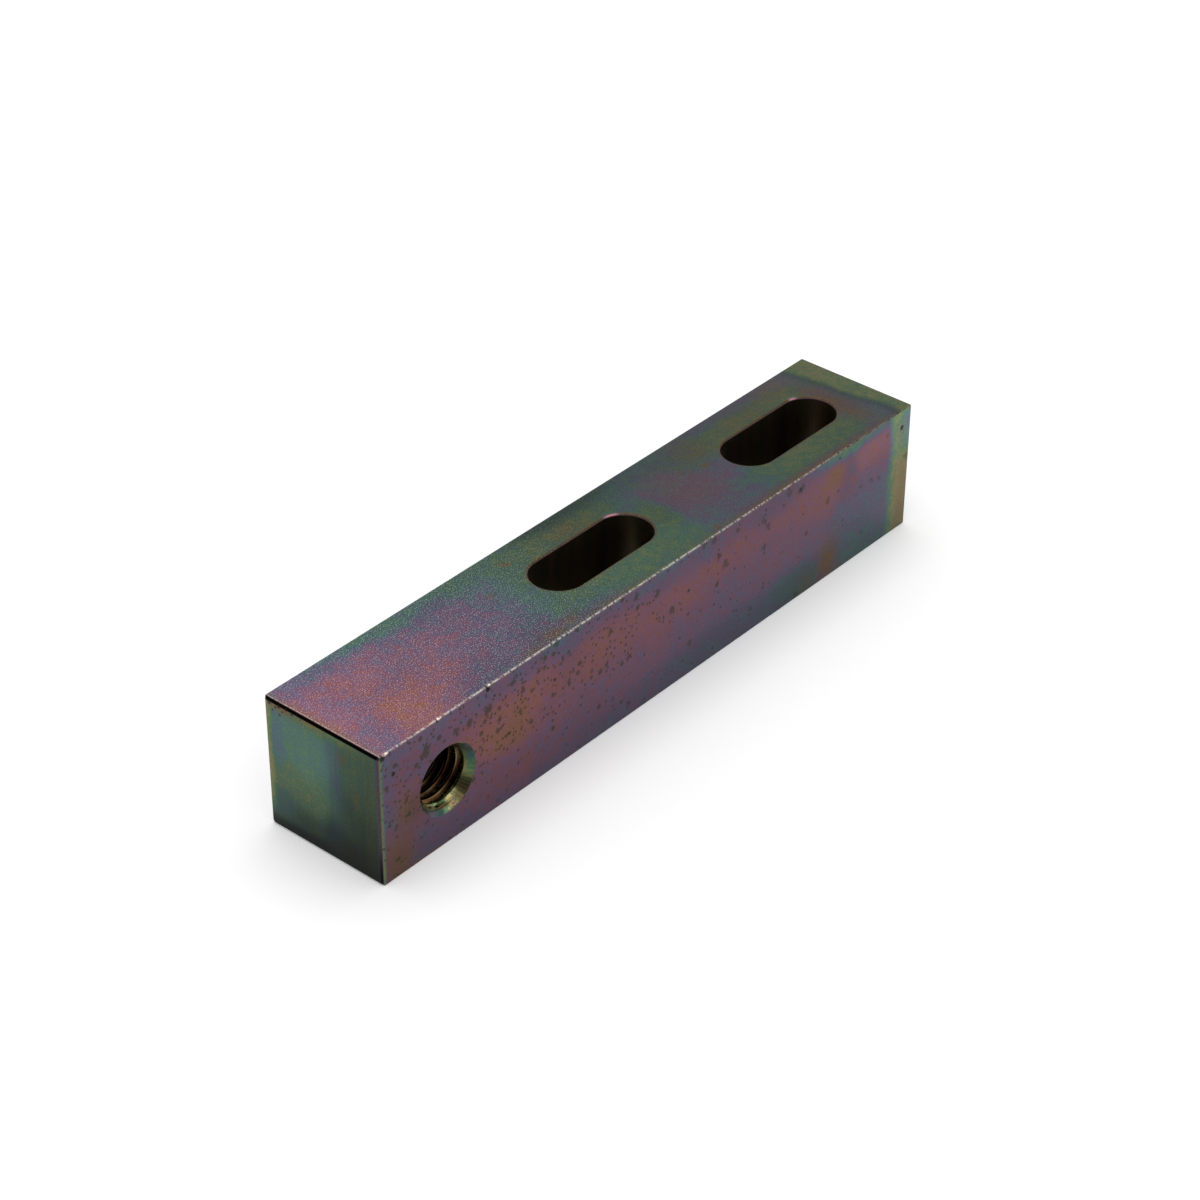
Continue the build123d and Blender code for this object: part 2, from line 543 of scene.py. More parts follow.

# %% [markdown]
# ## The front face
#
# The front is rose and violet, and bluer low down, where its tone is also painted a little lower as
# painted shade. It has a light edge at the tapped end, and a strip at the far end that is green above and
# tan below.

# %% Front face
# The lower tones of the centres near the bottom are painted shade.
front = drifts(s, z, [
    (1.5, 19, 2.5, 7, 0.48, 0.93), (3, 2.5, 3.5, 3, 0.3, 0.84), (4, 7, 3, 3, 0.34, 0.88),
    (8, 11.5, 2.2, 2, 0.3, 0.8), (10, 19.5, 4, 2, 0.36, 0.9), (5, 17, 2.5, 4, 0.3, 0.9),
    (14, 23.2, 11, 1.9, 0.44, 0.97), (29, 16, 7, 4, 0.24, 0.98), (29, 12.5, 4, 2.5, 0.15, 0.97),
    (36, 19, 5, 3, 0.27, 0.98), (43, 20, 3, 3, 0.38, 0.9), (52, 17, 9, 4, 0.26, 0.94),
    (30, 23.2, 9, 1.8, 0.43, 0.94), (47, 23.2, 10, 1.9, 0.45, 0.93), (70, 17, 9, 4, 0.28, 0.94),
    (75, 23.2, 14, 1.9, 0.47, 0.9), (86, 17.5, 8, 4, 0.3, 0.92), (95, 23.2, 9, 1.7, 0.4, 0.86),
    (107, 17, 7, 4, 0.3, 0.92), (113.5, 20, 2.5, 2, 0.18, 0.92), (60, 10, 18, 4, 0.39, 0.93),
    (40, 11, 8, 3, 0.33, 0.94), (90, 11, 12, 4, 0.43, 0.92), (102, 11, 8, 3, 0.37, 0.93),
    (22, 7, 8, 3, 0.36, 0.9), (30, 4.5, 5, 2, 0.28, 0.86), (15, 2.5, 10, 3, 0.44, 0.87),
    (45, 6, 12, 3, 0.38, 0.88), (55, 2.2, 16, 2.6, 0.47, 0.86), (85, 3, 14, 3, 0.53, 0.84),
    (103, 2.5, 5, 3, 0.66, 0.77), (118, 10, 6, 3, 0.52, 0.92), (119, 5.5, 4, 3, 0.6, 0.88),
    (122, 2, 6, 2.6, 0.65, 0.86), (113.5, 3.5, 2.4, 3, 0.45, 0.84), (126, 21.3, 4.5, 2.5, 0.28, 1.0),
    (121, 24.2, 8, 0.9, 0.76, 1.0), (127, 16, 3, 3, 0.38, 0.92), (127.5, 10, 2.5, 4, 0.5, 0.92),
    (70, 24.3, 3.5, 0.8, 0.64, 0.95), (40, 24.2, 3, 0.9, 0.62, 0.95), (117.5, 18, 2, 3, 0.4, 0.86),
], (0.40, 0.90))
near_edge = 1 - ramp_up(s, 0.55, 0.95)
pull(front, near_edge, 0.72, 1.08)
far_strip = ramp_up(s, 128.9 + 0.3 * np.sin(z / 2.1), 131.2 + 0.2 * np.sin(z / 1.3))
strip = drifts(s, z, [
    (132, 20, 2.5, 3.5, 0.72, 1.26), (135, 20.5, 1.6, 4, 0.5, 1.26), (133.8, 10, 2, 8, 0.98, 1.04),
    (130.8, 6, 1, 9, 0.8, 1.03), (132, 24, 3, 1, 0.78, 1.25), (134, 2, 2.5, 3, 0.98, 0.88),
], (0.85, 1.1))
pull(front, far_strip, *strip[:2])
front[2] = marks(s, z, [
    (3.8, 3, 3.4, 5.5, 0.8), (106.5, 1.5, 2.6, 3, 0.4), (5.6, 11.5, 2.6, 3, 0.8), (112.6, 3.2, 2.6, 5, 0.95),
    (113.5, 20, 2.6, 2, 0.45), (29.5, 13, 3.6, 2.2, 0.3), (134.4, 7, 2.2, 7.5, 0.5), (132.5, 20, 3, 4, 0.25),
    (8, 0.2, 6, 0.4, 0.9), (112, 0.6, 5, 0.8, 0.6),
])
pull(front[2:], near_edge, 0.3)
print(f"front: film {front[0].min():.2f} to {front[0].max():.2f}")

# %% [markdown]
# ## The tapped end
#
# The end is teal and green, and is painted darker towards its lower front corner, as painted shade where
# it mirrors the block's shadow on the floor. A light margin runs down its back edge, and brown stains hang
# from its top edge.

# %% Tapped end
u = width - t  # from the back edge
# The low tones near the bottom, darkest towards the front, are painted shade.
end = drifts(u, z, [
    (2.8, 17.5, 1.1, 4.5, 0.52, 1.0), (2.8, 21.5, 2, 2, 0.62, 1.04),
    (7, 20, 4, 3, 0.7, 1.06), (8.5, 16, 4, 4, 0.71, 1.06), (12.3, 18, 1.6, 3, 0.66, 1.04),
    (5, 11.5, 4, 2.4, 0.8, 0.92), (9.5, 9, 4, 2.6, 0.79, 0.85), (12.4, 12, 2, 3, 0.78, 0.92),
    (3.2, 5.5, 3, 2.4, 0.64, 0.78), (8, 4.5, 4, 1.8, 0.74, 0.56), (15, 12, 1.4, 6, 0.56, 0.72),
    (14.8, 20, 1.2, 3, 0.57, 0.89), (14.6, 5, 1.8, 3, 0.56, 0.38), (19.5, 20, 3, 4, 0.76, 0.74),
    (19.6, 15, 1.0, 3, 0.82, 0.68), (22, 16, 1.6, 6, 0.77, 0.64), (18, 10, 2, 4, 0.74, 0.56),
    (21.8, 8, 2.4, 4, 0.8, 0.44), (20, 3.5, 4, 2.4, 0.78, 0.28), (14, 0.5, 14, 1.6, 0.7, 0.2),
    (12, 24.2, 6, 0.8, 0.88, 0.92),
], (0.76, 0.80))
back_margin = np.exp(-(u / 1.5) ** 4) * ramp_up(z, 1, 8)
pull(end, back_margin, 0.90, 1.08)
front_margin = ramp_up(u, 23.5, 24.2)
pull(end, front_margin, 0.46)
pull(end[1:], front_margin * ramp_up(z, 2, 10), 0.78)
end[2] = marks(u, z, [
    (3.5, 24.6, 3.6, 1.1, 1.0), (9, 24.6, 3, 0.6, 0.6), (16.5, 20.8, 0.7, 1.0, 0.7), (24.3, 14, 0.4, 12, 0.5),
    (5.5, 13.5, 1.6, 0.5, 0.2), (6, 9, 2.2, 0.5, 0.2), (19.5, 15, 0.7, 1.6, 0.35), (22, 16, 0.6, 2.2, 0.3),
    (14, 2.5, 4, 1.0, 0.2),
])
print(f"tapped end: film {end[0].min():.2f} to {end[0].max():.2f}")

# %% [markdown]
# ## The other three faces
#
# They came out of the same bath, so they have the same colours in fewer and wider drifts.

# %% Back, underside and far end
back = drifts(s, z, [
    (8, 14, 9, 10, 0.34, 1.0), (30, 8, 14, 7, 0.46, 0.92), (34, 20, 12, 5, 0.6, 0.96),
    (62, 15, 14, 8, 0.38, 1.0), (88, 6, 14, 6, 0.54, 0.86), (92, 19, 12, 5, 0.3, 1.0),
    (118, 12, 9, 9, 0.44, 0.98), (133, 12, 2.5, 14, 0.82, 1.1),
], (0.5, 0.92))
under = drifts(s, t, [
    (10, 12, 10, 12, 0.44, 0.95), (34, 8, 12, 7, 0.62, 0.9), (36, 20, 10, 5, 0.34, 1.0),
    (60, 12, 12, 14, 0.72, 0.9), (86, 10, 9, 9, 0.38, 0.96), (108, 16, 10, 9, 0.66, 0.9),
    (130, 12, 5, 14, 0.82, 1.0),
], (0.55, 0.92))
far = drifts(t, z, [
    (4, 16, 4, 9, 0.62, 0.95), (12, 9, 6, 6, 0.76, 0.9), (19, 18, 5, 6, 0.7, 0.95),
    (21, 5, 5, 4, 0.84, 0.85), (10, 21, 6, 3, 0.82, 1.0),
], (0.74, 0.9))
for side, fields in (("back", back), ("underside", under), ("far end", far)):
    print(f"{side}: film {fields[0].min():.2f} to {fields[0].max():.2f}")

# %% [markdown]
# ## Each face's drifts on its own points
#
# Each field was worked out for all points at once. Here a point takes the one of the face that it lies on,
# and on an edge the last face in the list wins.

# %% Points of each face
near_side = {
    "top": z > height - 0.2, "under": z < 0.2, "front": t < 0.32, "back": t > width - 0.2,
    "tapped end": (s < 0.49) & (s <= t + 0.02) & (s <= height - z + 0.02), "far end": s > length - 0.45,
}
for side, fields in {
    "under": under, "back": back, "front": front, "top": top, "tapped end": end, "far end": far,
}.items():
    here = near_side[side]
    for whole, part in zip((film, tone, stain), fields):
        whole[here] = part[here]
    print(side, "has", here.sum(), "points")

# %% [markdown]
# ## Rims and edges
#
# The slots' rims are brown, with a glint on the far round end where the edge break mirrors the lamp. The
# tapped end's edges are painted dark, as painted reflections of dark surroundings, and a fine painted
# highlight follows its top edge as a light line.

# %% Rims and edges
from_slot = np.full(len(vertices), 99.0)
for centre_x in slot_centres:
    along_slot = np.maximum(abs(vertices[:, 0] - centre_x) - slot_straight, 0)
    from_slot = np.minimum(from_slot, np.hypot(along_slot, vertices[:, 1]) - slot_radius)
rim = near_side["top"] * np.exp(-((from_slot - 0.1) / 0.3) ** 2)
stain = np.maximum(stain, 0.9 * rim)
tone += rim * (0.78 - tone)
for centre_x, middle, half in zip(slot_centres, (67, 70), (16, 9)):
    turned = np.degrees(np.arctan2(vertices[:, 1], vertices[:, 0] - centre_x - slot_straight))
    glint = np.exp(-((turned - middle) / half) ** 4 - ((from_slot - 0.1) / 0.3) ** 2) * near_side["top"]
    film += glint * (0.22 - film)
    tone += glint * (1.55 - tone)
    stain -= glint * stain

towards_top = s - (height - z)  # across the end's top edge: negative on the end, positive on the top
top_edge = (s < 0.9) & (z > height - 0.52)
# Painted reflection: the end's top chamfer is painted dark, and a painted highlight runs just above it.
tone[top_edge & (towards_top < 0.3)] = 0.1  # the dark line below the light one
painted_edge_highlight = top_edge * np.exp(-((towards_top - 0.5) / 0.07) ** 2)
stain += painted_edge_highlight * (0.6 - stain)
# Painted reflections: the end's back and bottom edges are painted dark.
on_end = s < 0.3
tone = np.where(on_end & (t > width - 0.45), 0.14, tone)
tone = np.where(on_end & (z < 0.45), 0.1, tone)
print("light line on", (painted_edge_highlight > 0.1).sum(), "points")

# %% [markdown]
# ## The countersink
#
# The cone is laid out by the angle round the hole and the depth below the face. Its film is green and
# gold, brown in places, torn in a small patch at the bottom, and scratched round the lower left. Its lower
# part carries painted highlights, by the mouth near -86 degrees and in the band where the thread begins.

# %% Countersink
from_hole = np.hypot(vertices[:, 0] - hole_x, z - hole_z)
hole_angle = np.degrees(np.arctan2(z - hole_z, vertices[:, 0] - hole_x))
inside_hole = (from_hole < hole_mouth_radius + 0.01) & (s > 5) & (s < 30)
depth = np.minimum(t, width - t)
# Painted highlights: the bright centres near -86 degrees by the mouth, and at depths 1.5 to 1.65 from -105 to
# -60.
cone = drifts(hole_angle, depth, [
    (-168, 0.7, 12, 1.5, 1.0, 0.5), (-150, 0.35, 9, 0.3, 0.88, 0.46), (-148, 0.95, 9, 0.2, 1.0, 0.8),
    (-134, 0.35, 8, 0.3, 0.5, 0.84), (-135, 0.95, 7, 0.2, 1.0, 0.85), (-120, 0.4, 8, 0.3, 0.5, 0.93),
    (-120, 1.0, 7, 0.2, 1.0, 0.76), (-105, 0.4, 8, 0.3, 0.66, 0.84), (-105, 1.0, 7, 0.2, 1.0, 0.82),
    (-92, 0.3, 6, 0.3, 0.74, 1.32), (-92, 0.95, 6, 0.2, 1.0, 0.76), (-86, 0.3, 2, 0.12, 0.86, 1.9),
    (-75, 0.4, 6, 0.3, 0.93, 1.5), (-76, 0.02, 6, 0.08, 1.0, 0.9), (-90, 0.02, 6, 0.08, 0.8, 0.9),
    (-75, 1.15, 7, 0.2, 0.98, 1.5), (-61, 1.1, 4, 0.3, 0.88, 1.15), (-60, 0.6, 4, 0.7, 0.96, 0.95),
    (-52, 0.6, 2.5, 0.6, 0.94, 0.62), (-44, 0.6, 5, 1.2, 1.0, 0.47), (-34, 0.6, 5, 1.2, 0.94, 0.5),
    (-25, 0.6, 2, 1.2, 0.92, 0.85), (-15, 0.5, 5, 0.4, 0.74, 0.98), (-12, 0.03, 8, 0.1, 0.95, 0.8),
    (-14, 1.4, 5, 0.25, 1.0, 1.0), (0, 0.5, 6, 0.4, 0.72, 0.9), (0, 1.3, 6, 0.25, 0.86, 0.9),
    (15, 0.6, 7, 0.4, 0.56, 0.84), (15, 1.25, 7, 0.25, 0.96, 0.85), (30, 0.6, 7, 0.5, 0.66, 0.63),
    (32, 1.25, 7, 0.25, 0.98, 0.76), (45, 0.4, 7, 0.4, 0.6, 0.78), (48, 1.1, 8, 0.35, 0.98, 0.66),
    (64, 0.4, 8, 0.3, 1.0, 1.4), (66, 1.0, 8, 0.3, 1.0, 1.05), (80, 0.6, 8, 1, 0.45, 1.35),
    (120, 0.6, 14, 1, 0.6, 0.8), (150, 0.6, 14, 1, 0.8, 0.7),
    (-135, 1.5, 9, 0.3, 1.0, 0.8), (-120, 1.5, 8, 0.25, 0.96, 1.15), (-105, 1.55, 7, 0.25, 0.84, 1.5),
    (-90, 1.6, 7, 0.25, 0.82, 2.0), (-75, 1.65, 6, 0.3, 0.92, 2.5), (-60, 1.6, 5, 0.3, 1.0, 1.7),
    (-44, 1.6, 6, 0.3, 0.95, 0.5),
], (0.85, 0.9))
cone[2] = marks(hole_angle, depth, [
    (-168, 0.7, 14, 1.5, 0.5), (-148, 0.95, 9, 0.2, 0.4), (-127, 0.35, 12, 0.3, 0.25),
    (-75, 0.5, 8, 0.5, 0.5), (-130, 0.97, 12, 0.2, 0.6), (-108, 1.0, 12, 0.2, 0.45),
    (-120, 1.4, 10, 0.2, 0.6), (-92, 0.95, 8, 0.2, 0.4), (-75, 1.2, 9, 0.2, 0.4), (-60, 0.5, 5, 0.6, 0.4),
    (-45, 0.6, 6, 1.5, 0.35), (15, 1.3, 10, 0.2, 0.2), (30, 0.6, 7, 0.6, 0.2), (47, 0.5, 8, 0.5, 0.5),
    (62, 0.6, 8, 0.8, 0.8), (-135, 1.5, 9, 0.3, 0.3),
])
torn = inside_hole * marks(hole_angle, depth, [(-77, 0.35, 7, 0.4, 0.9), (-70, 0.6, 7, 0.25, 0.8)])
scratch_depth = np.interp(hole_angle, [-140, -120, -108, -90, -72], [0.50, 0.69, 0.78, 0.81, 0.79])
scratch_half = np.interp(hole_angle, [-140, -126, -80, -71], [0.001, 0.07, 0.07, 0.001])
from_scratch = (depth - scratch_depth) / scratch_half  # from -1 to 1 across it, and it tapers at both ends
from_scratch = np.where(inside_hole, np.clip(from_scratch, -99, 99), 99)
print("hole:", inside_hole.sum(), "points")

# %% [markdown]
# ## The thread
#
# A point on the thread is placed along the thread's section: 0 in the middle of a crest, and negative on
# the side that faces the nearer mouth. The light that the first crests catch is painted into their tone,
# with painted highlights on their near edges, and each turn further in is painted darker as painted shade,
# as are the far flanks.

# %% Thread
along_thread = t - first_crest + thread_pitch * hole_angle / 360  # 0, one pitch, two ... on the crests
turn_number = np.round(along_thread / thread_pitch)
place_on_thread = along_thread - thread_pitch * turn_number
place_on_thread *= np.sign(width / 2 - t)  # negative on the side that faces the nearer mouth
turns_in = np.where(t < width / 2, turn_number, np.round(depth / thread_pitch))
place_on_thread += 0.08 * (turns_in > 1)
# Painted lightness of the section: near flank, the painted highlight on its edge, the crest, far flank.
profile = np.interp(place_on_thread, [-0.77, -0.49, -0.36, -0.25, -0.18, -0.10, 0.18],
                    [1.2, 1.35, 0.74, 0.86, 0.34, 0.24, 0.36])
# The first crest's flat carries a painted highlight, tinted light green, for a part of its turn.
greenish = np.interp(hole_angle, [-8, 2, 10, 22, 36, 48], [0, 0.25, 0.9, 1, 0.9, 0])
greenish *= (abs(place_on_thread) < 0.2) * (turns_in == 1)
profile += 2.2 * greenish
# Painted light by the angle round the hole on the first turns in; turns past the third are painted darker.
lit = [  # angles round the hole, then how light and how brown the crest is on the first turns in
    ([-180, -105, -90, -75, -60, -45, -30, -15, 0, 15, 30, 90, 180],
     [0.8, 1.2, 1.2, 1.35, 0.9, 0.5, 0.75, 1.2, 1.4, 1.1, 0.65, 0.7, 0.8],
     [0.5, 0.5, 0.5, 0.3, 0.35, 0.6, 0.7, 0.6, 0.15, 0, 0.1, 0.5, 0.5]),
    ([-180, -105, -90, -75, -60, -45, -30, -15, 0, 90, 180],
     [0.6, 1.05, 1.0, 1.6, 1.1, 0.65, 0.75, 0.95, 0.8, 0.5, 0.6],
     [0.5, 0.35, 0.4, 0.3, 0.8, 0.8, 0.8, 0.85, 0.3, 0.5, 0.5]),
    ([-180, -75, -60, -45, -30, 180], [0.5, 1.2, 0.7, 0.45, 0.35, 0.5], [0.6, 0.5, 0.6, 0.8, 0.8, 0.6]),
]
crest_light, crest_stain = np.zeros(len(vertices)), np.zeros(len(vertices))
for number, (angles, lightness, brown) in enumerate(lit, 1):
    here = turns_in >= number
    fade = np.exp(-0.5 * np.maximum(turns_in - 3, 0))
    crest_light = np.where(here, np.interp(hole_angle, angles, lightness) * fade, crest_light)
    crest_stain = np.where(here, np.interp(hole_angle, angles, brown), crest_stain)
thread_film = np.where(place_on_thread < -0.55, 0.9, 0.97) - 0.13 * greenish
thread_stain = np.where(place_on_thread < -0.55, 0, crest_stain + 0.2 * (place_on_thread < -0.3))
# Painted shade: the far flanks are held at a low tone, and so is the turn nearest the mouth.
thread_tone = np.where(place_on_thread < 0.21, profile * crest_light, 0.4)
thread_tone = np.where(turns_in < 1, 0.4, thread_tone)
from_first = np.where(t < width / 2, along_thread, depth - first_crest)
cut = ramp_up(from_first, 0.15, 0.4)  # 0 on the cone, 1 on the thread
for whole, on_cone, on_thread in zip((film, tone, stain), cone, (thread_film, thread_tone, thread_stain)):
    whole[inside_hole] = (on_cone + cut * (on_thread - on_cone))[inside_hole]
print("thread:", (cut > 0.5)[inside_hole].sum(), "points")

# %% [markdown]
# ## Where the fine detail goes
#
# Masks say where the materials add detail finer than the mesh: frosty grain with painted sparkle and
# shade on the top, pits on the front, tool lines on the tapped end and the cone, and a bright burr with a
# painted edge highlight and three knocks along the edge.

# %% Masks
on_top = near_side["top"] * ramp_up(s, 0.5, 0.7)
grain = on_top * (0.15 + 0.85 * (1 - ramp_up(s, 36, 78)))
pits = near_side["front"] * np.maximum(
    ramp_up(z, 3, 13) * (1 - 0.75 * ramp_up(s, 46, 80)),
    (0.25 + 0.35 * ramp_up(z, 16, 20)) * (1 - 0.45 * ramp_up(s, 50, 70)))
pits *= 1 - 0.6 * ramp_up(s, 84, 108)
pits += near_side["front"] * marks(s, z, [(28, 14, 6, 5, 0.4)])
pits = np.maximum(pits, near_side["tapped end"] * marks(u, z, [(3.5, 24.3, 3, 0.9, 0.9), (4, 24, 6, 3, 0.3)]))
streaks = (s < 0.5) * (0.5 + 0.5 * ramp_up(u, 11, 16))
cone_streaks = marks(hole_angle, depth, [
    (-40, 0.8, 16, 1.2, 1.0), (-72, 0.8, 20, 1.2, 0.8), (0, 0.8, 60, 1.2, 0.2), (-120, 0.8, 40, 1.2, 0.25),
])
streaks = np.where(inside_hole, cone_streaks, streaks)
edge_line = np.hypot(t, height - z)
# Bright worn metal along the front top edge, also painted on as an edge highlight.
burr = np.exp(-(edge_line / 0.19) ** 2) * (1 - 0.3 * ramp_up(s, 60, 90) - 0.5 * ramp_up(s, 98, 124))
burr *= 1 + marks(s, z, [(24.7, 25, 0.5, 2, 2.0), (13.2, 25, 0.4, 2, 2.0), (1.6, 25, 0.4, 2, 2.0)])
burr = np.maximum(burr, 0.6 * painted_edge_highlight)

as_light = tone ** 2.2  # tones are set as the eye sees them, and a shader wants light
for name, values in {
    "film": film, "tone": as_light, "stain": stain, "grain": grain, "pits": pits, "streaks": streaks,
    "burr": burr, "torn": torn, "from_scratch": from_scratch,
}.items():
    layer = block.data.attributes.new(name, "FLOAT", "POINT")
    layer.data.foreach_set("value", values.astype(np.float32))
    print(f"{name}: {values.min():.2f} to {values.max():.2f}")

# %% [markdown]
# ## Writing shader maths
#
# A material is a web of nodes, which is slow to read. This small class wraps one output of a node, so
# that a * b + c lays down two Math nodes. Numbers alone are still worked out in Python.

# %% Shader maths
class Value:
    """One output of a shader node. Signs between values add Math nodes to the same web."""

    def __init__(self, web, socket):
        self.web = web
        self.socket = socket

    def maths(self, operation, *others, clamp=False):
        """Lays down one Math node."""
        return self.web.node("ShaderNodeMath", others, operation=operation, use_clamp=clamp)

    def clip(self):
        """Holds the value between 0 and 1."""
        return self.maths("ADD", self, 0.0, clamp=True)

    def output(self, which):
        """Another output of the same node."""
        return Value(self.web, self.socket.node.outputs[which])


for sign, operation in {"add": "ADD", "sub": "SUBTRACT", "mul": "MULTIPLY"}.items():
    setattr(Value, f"__{sign}__", lambda one, two, kind=operation: one.maths(kind, one, two))
    setattr(Value, f"__r{sign}__", lambda one, two, kind=operation: one.maths(kind, two, one))


class Web:
    """The nodes of one material or world."""

    def __init__(self, tree):
        self.tree = tree
        tree.nodes.clear()

    def node(self, kind, inputs=(), out=0, **settings):
        """Lays down a node and returns one output. Some settings change the sockets, so they come first.

        inputs is a list in socket order, or a dictionary by socket name or number. Each is a number, a
        colour, or a Value to link.
        """
        made = self.tree.nodes.new(kind)
        for name, setting in settings.items():
            if name == "stops":
                ramp = made.color_ramp
                while len(ramp.elements) < len(setting):
                    ramp.elements.new(0.5)
                for element, (place, colour) in zip(ramp.elements, setting):
                    element.position = place
                    element.color = colour
            else:
                setattr(made, name, setting)
        pairs = inputs.items() if isinstance(inputs, dict) else enumerate(inputs)
        for which, given in pairs:
            if isinstance(given, Value):
                self.tree.links.new(given.socket, made.inputs[which])
            else:
                made.inputs[which].default_value = given
        return Value(self, made.outputs[out]) if made.outputs else None

    def vector(self, operation, *inputs, out=0):
        """Maths on three numbers at once, such as a place."""
        return self.node("ShaderNodeVectorMath", inputs, out, operation=operation)

    def scale(self, colour, amount):
        """A colour times a number, channel by channel."""
        return self.node("ShaderNodeVectorMath", {0: colour, 3: amount}, operation="SCALE")

    def blend(self, share, first, second):
        """Mixes two colours: the first where share is 0, the second where it is 1."""
        return self.node("ShaderNodeMix", {0: share, 6: first, 7: second}, 2, data_type="RGBA")

    def painted(self, name):
        """A number kept on the mesh's points."""
        return self.node("ShaderNodeAttribute", out="Fac", attribute_name=name)

    def step(self, value, start, end):
        """0 at start, 1 at end, with a smooth S between them."""
        inputs = {"Value": value, "From Min": start, "From Max": end}
        return self.node("ShaderNodeMapRange", inputs, interpolation_type="SMOOTHSTEP")

    def noise(self, place, size, detail=2.0, rough=0.5, warp=0.0):
        """Cloudy noise whose blotches are about size metres across; it averages 0.5."""
        return self.node("ShaderNodeTexNoise", {
            "Vector": place, "Scale": 1 / size, "Detail": detail, "Roughness": rough, "Distortion": warp})

    def upright(self, place, squeeze):
        """Squeezes a place from top to bottom, so that noise there is drawn out into upright lines."""
        return self.node("ShaderNodeMapping", {"Vector": place, "Scale": (1, 1, squeeze)})

    def bump(self, height, distance, strength):
        """Tilts the surface as fine relief of some height would."""
        return self.node("ShaderNodeBump", {"Height": height, "Distance": distance, "Strength": strength})

    def surface(self, inputs):
        """Ends a material with the one shader that all of them use."""
        self.node("ShaderNodeOutputMaterial", [self.node("ShaderNodeBsdfPrincipled", inputs)])


def new_material(thing, name):
    """Gives a thing one more material, and returns its web, empty."""
    material = bpy.data.materials.new(name)
    material.use_nodes = True
    thing.data.materials.append(material)
    return Web(material.node_tree)


def seen(red, green, blue):
    """A colour given as a screen shows it, 0 to 255, turned into the linear light that shaders use."""
    share = np.array([red, green, blue]) / 255
    return tuple(np.where(share < 0.04045, share / 12.92, ((share + 0.055) / 1.055) ** 2.4)) + (1.0,)


# %% [markdown]
# ## The colours of the film
#
# A film's colour goes round in a fixed order as it thickens, the same on every piece out of the bath. One
# colour ramp holds that order. The steel under the zinc is dark, so every colour is muted.

# %% Film colours
film_order = [
    (0.00, seen(108, 86, 48)), (0.1, seen(118, 84, 56)), (0.2, seen(123, 79, 65)),
    (0.29, seen(118, 74, 83)), (0.38, seen(104, 74, 95)), (0.46, seen(89, 77, 101)),
    (0.54, seen(77, 84, 101)), (0.64, seen(65, 94, 92)), (0.75, seen(69, 98, 76)),
    (0.86, seen(92, 103, 66)), (1.00, seen(112, 100, 70)),
]
print("film:", len(film_order), "colours, from thin to thick")


# %% [markdown]
# ## The plated faces
#
# One finish covers all six faces. The thickness is the drift laid on the points, broken up by noise of
# three sizes and, on the tapped end, by the mill's upright lines.

# %% Plated finish
web = new_material(block, "plated_film")
place = web.node("ShaderNodeTexCoord", out="Object")
grain_and_sparkle_here = web.painted("grain")
pits_here = web.painted("pits")
streaks_here = web.painted("streaks")

cloud = web.noise(place, 0.005, 3.0, 0.6, 0.4) - 0.5
mottle = web.noise(place, 0.0017, 3.0, 0.6) - 0.5
fleck = web.noise(place, 0.00038, 2.0, 0.7) - 0.5
tool_lines = web.noise(web.upright(place, 0.03), 0.0009, 4.0, 0.6) - 0.5

calm = 1 - 0.8 * streaks_here  # the milled end is smoother than the drawn faces
grained = web.step(grain_and_sparkle_here, 0.0, 0.12)
thickness = (web.painted("film") + cloud * 0.24 * calm + mottle * (0.30 + 0.08 * grained)
             + fleck * (0.34 + 0.06 * grain_and_sparkle_here + 0.02 * streaks_here) + tool_lines * 0.30 * streaks_here)
colour = web.node("ShaderNodeValToRGB", [thickness], stops=film_order)
stain_here = web.painted("stain")
stained = (stain_here * (1 + 1.6 * mottle) + 0.5 * fleck * stain_here).clip()
colour = web.blend(stained, colour, seen(104, 78, 50))
print("stained film:", len(web.tree.nodes), "nodes")

# %% [markdown]
# ## Frosty grain, with painted sparkle and painted shade
#
# Plating grows rough where it grows fast. Each tiny bump on the top catches the light and each hollow
# is dark, so one fine noise is cut at two levels: a painted highlight on the bumps and painted shade in the
# hollows.

# %% Frosty grain
frost_noise = web.noise(place, 0.000185, 0.0)
# Painted highlight on the bumps where the noise is high, and painted shade in the hollows where it is low.
painted_sparkle = web.step(frost_noise, 0.62, 0.74) * grain_and_sparkle_here
painted_hollow_shade = web.step(frost_noise, 0.44, 0.30) * grain_and_sparkle_here
uneven = 1 + (0.35 - 0.25 * grain_and_sparkle_here) * calm * mottle + (0.7 - 0.2 * grain_and_sparkle_here) * fleck
lightness = web.painted("tone") * uneven * (1 + 0.3 * tool_lines * streaks_here) * (1 - 0.35 * painted_hollow_shade)
colour = web.scale(colour, lightness)
# The sparkle's colour is a painted highlight: the film made lighter and mixed with near-white.
painted_sparkle_colour = web.blend(0.45, web.scale(colour, 2.4), seen(210, 204, 188))
colour = web.blend(painted_sparkle * 0.78, colour, painted_sparkle_colour)
print("with grain:", len(web.tree.nodes), "nodes")


# %% [markdown]
# ## Pits
#
# The bath ate olive pits into the front. The larger ones are listed one by one, and a web of cells
# scatters the fine ones. The deepest, and those under the end's top edge, are nearly black.

# %% Pits
def ragged(place, size, amount):
    """Pushes a place about by noise, so that a round spot drawn there gets a ragged rim."""
    push = web.node("ShaderNodeTexNoise", {"Vector": place, "Scale": 1 / size}, 1)
    push = web.vector("SUBTRACT", push, (0.5, 0.5, 0.5))
    return web.vector("MULTIPLY_ADD", push, (amount, amount, amount), place)


def largest_blotch(place, blotches):
    """How deep a point lies in any blotch: the largest of 1 - distance / radius."""
    deepest = None
    for along_bar, across, high_up, radius in blotches:
        centre = ((along_bar - length / 2) / 1000, (across - width / 2) / 1000, high_up / 1000)
        far = web.vector("DISTANCE", place, centre, out="Value")
        here = far.maths("MULTIPLY_ADD", far, -1000 / radius, 1.0)
        deepest = here if deepest is None else here.maths("MAXIMUM", here, deepest)
    return deepest


